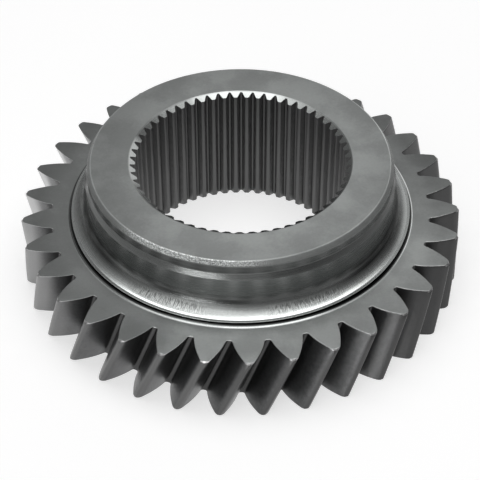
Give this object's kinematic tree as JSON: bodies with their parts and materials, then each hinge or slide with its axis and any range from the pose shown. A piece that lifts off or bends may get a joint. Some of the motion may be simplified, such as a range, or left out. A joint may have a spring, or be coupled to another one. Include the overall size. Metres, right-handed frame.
{
  "type": "helical transmission gear",
  "caption": "Helical gear with a coved hub on one side and an involute splined bore right through, for a gearbox shaft.",
  "frame": {"origin": "on the bore's axis, in the plane of the lower gear face, which the gear stands on", "axes": "+Z along the bore's axis, out of the hub; X and Y lie across the gear face"},
  "size_m": [0.1884, 0.1884, 0.057],
  "materials": {
    "steel": "turned and hobbed steel, satin grey, with brighter ground chamfers"
  },
  "bodies": {
    "root": {"gear": "steel"}
  },
  "joints": []
}
